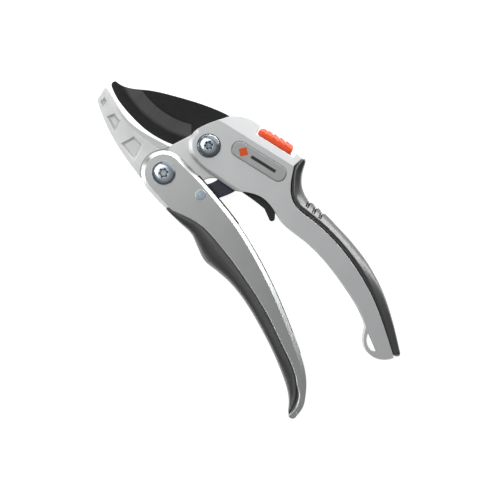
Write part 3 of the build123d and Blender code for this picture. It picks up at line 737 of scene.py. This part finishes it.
def slider_top(along, swell):
    """How high the middle of the crown is. It rises to the front, with a rib past every groove."""
    top = SLIDER_ENDS + (SLIDER_RISE + 0.35 * smooth_step(16, 34, along)) * swell
    for place in SLIDER_GROOVES:
        past = along - place
        top -= SLIDER_CUT * swell * (1 - smooth_step(0.0, 0.5, abs(past)))
        top += SLIDER_RIB * swell * smooth_step(0.3, 0.7, past) * (1 - smooth_step(0.9, 3.2, past))
    return top


def slider_ring(along):
    """One cross section of the slider, at that many millimetres along the ridge."""
    inside = min((along - SLIDER_BACK) / SLIDER_ROUNDS[0], (SLIDER_FRONT - along) / SLIDER_ROUNDS[1], 1.0)
    swell = math.sqrt(max(1 - (1 - max(inside, 0.0)) ** 2, 0.0))
    low = SLIDER_LOW + 1.5 * (1 - swell)
    shoulder = SLIDER_SHOULDER + 0.5 * (1 - swell)
    top = slider_top(along, swell)
    half = SLIDER_HALF * (0.86 + 0.14 * swell)
    ring = [(low, 0.0), (low, half - 0.4), (low + 0.4, half), (shoulder - 0.3, half)]
    for step in range(CROWN_STEPS + 1):
        angle = math.radians(90 * step / CROWN_STEPS)
        above = shoulder + (top - shoulder) * math.sin(angle) ** 0.9
        ring.append((above, (half - 0.15) * math.cos(angle) ** 0.8))
    ring[-1] = (top, 0.0)
    mirrored = [(above, -height) for above, height in reversed(ring[1:-1])]
    return [on_ridge(along, above, height) for above, height in ring + mirrored]


def make_slider():
    length = SLIDER_FRONT - SLIDER_BACK
    places = [SLIDER_BACK + length * index / SLIDER_RINGS for index in range(SLIDER_RINGS + 1)]
    rings = [slider_ring(place) for place in places]
    slider = skin("lock_slider_cap", rings, MATERIALS["orange_plastic"], "lock")
    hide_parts("lock_slider")


make_slider()


# Studio: pale floor, soft light and the camera


def make_floor():
    """A white light table: it glows a little, so the shadows on it stay pale."""
    reach = 3.0  # metres from the row's origin to each side
    mesh = bpy.data.meshes.new("floor")
    low = cad_box[0].z - 0.1 * MM
    corners = [(-reach, -reach, low), (reach, -reach, low), (reach, reach, low), (-reach, reach, low)]
    mesh.from_pydata(corners, [], [(0, 1, 2, 3)])
    floor = bpy.data.objects.new("floor", mesh)
    bpy.context.scene.collection.objects.link(floor)
    surface = Surface("floor_paper", Specular_IOR_Level=0.2, Roughness=0.8, Emission_Strength=0.9)
    surface.shader.inputs["Emission Color"].default_value = (1, 1, 1, 1)
    paper = surface.noise(60, detail=3)
    surface.colour(surface.mixed(surface.spread(paper, 0.3, 0.7), (0.44, 0.44, 0.44), (0.46, 0.46, 0.46)))
    mesh.materials.append(surface.material)


LAMP_DISTANCE = 1.05


def soft_box(name, direction, size, power, distance=LAMP_DISTANCE):
    """A soft lamp that faces the tool's middle. Its direction is azimuth and elevation, in degrees."""
    azimuth, elevation = (math.radians(angle) for angle in direction)
    flat = math.cos(elevation)
    toward = Vector((math.cos(azimuth) * flat, math.sin(azimuth) * flat, math.sin(elevation)))
    data = bpy.data.lights.new(name, "AREA")
    data.shape = "RECTANGLE"
    data.size, data.size_y = size
    data.energy = power
    lamp = bpy.data.objects.new(name, data)
    bpy.context.scene.collection.objects.link(lamp)
    lamp.location = (cad_box[0] + cad_box[1]) / 2 + toward * distance
    lamp.rotation_euler = toward.to_track_quat("Z", "Y").to_euler()
    lamp.visible_camera = False


# Glow of the light tent at each sine of the elevation
TENT = ((0.0, 0.35), (0.2, 0.22), (0.5, 0.08), (0.7, 0.1), (0.9, 0.3), (0.96, 0.34), (1.0, 0.34))


def make_tent():
    """A light tent all round, which is dimmer half way up."""
    world = bpy.data.worlds.new("studio")
    bpy.context.scene.world = world
    world.use_nodes = True
    nodes = world.node_tree.nodes
    links = world.node_tree.links
    split = nodes.new("ShaderNodeSeparateXYZ")
    links.new(nodes.new("ShaderNodeTexCoord").outputs["Generated"], split.inputs[0])
    ramp = nodes.new("ShaderNodeValToRGB")
    links.new(split.outputs["Z"], ramp.inputs["Fac"])
    stops = ramp.color_ramp.elements
    for place, glow in TENT[1:-1]:
        stops.new(place).color = (glow, glow, glow, 1)
    for stop, (place, glow) in ((stops[0], TENT[0]), (stops[-1], TENT[-1])):
        stop.position = place
        stop.color = (glow, glow, glow, 1)
    links.new(ramp.outputs["Color"], nodes["Background"].inputs["Color"])


def make_lamps():
    """Two panels behind the head's ridge, three low lamps at the other sides, and one high lamp."""
    soft_box("panel", (108, 40), size=(1.45, 0.5), power=1.1)
    soft_box("low_panel", (107, 7), size=(1.5, 0.36), power=13.0)
    for azimuth in (160, 226):
        soft_box("side", (azimuth, 7), size=(0.8, 0.18), power=3.2)
    soft_box("front_side", (264, 4), size=(1.0, 0.14), power=2.2)
    soft_box("overhead", (190, 62), size=(0.5, 0.5), power=1.8, distance=0.8)


CAMERA_DISTANCE = 1.2
PHOTO_AZIMUTH = 50.0
PHOTO_ELEVATION = 90.0  # straight down
PHOTO_WIDTH = 274.9  # what the picture's side measures at the tool
PHOTO_CENTRE = (58.1, -19.4)


def make_camera():
    """Looks at the tool as the photo does, from straight above."""
    azimuth, elevation = math.radians(PHOTO_AZIMUTH), math.radians(PHOTO_ELEVATION)
    flat = math.cos(elevation)
    back = Vector((math.sin(azimuth) * flat, -math.cos(azimuth) * flat, math.sin(elevation)))
    right = Vector((math.cos(azimuth), math.sin(azimuth), 0))
    data = bpy.data.cameras.new("camera")
    data.sensor_width = 36.0
    data.lens = data.sensor_width * CAMERA_DISTANCE / (PHOTO_WIDTH * MM)
    camera = bpy.data.objects.new("camera", data)
    bpy.context.scene.collection.objects.link(camera)
    camera.location = at(*PHOTO_CENTRE) + back * CAMERA_DISTANCE
    up = back.cross(right)
    rotation = camera.rotation_euler.to_matrix()
    rotation.col[0], rotation.col[1], rotation.col[2] = right, up, back
    camera.rotation_euler = rotation.to_euler()
    bpy.context.scene.camera = camera


make_floor()
make_tent()
make_lamps()
make_camera()
bpy.context.scene.view_settings.view_transform = "Standard"
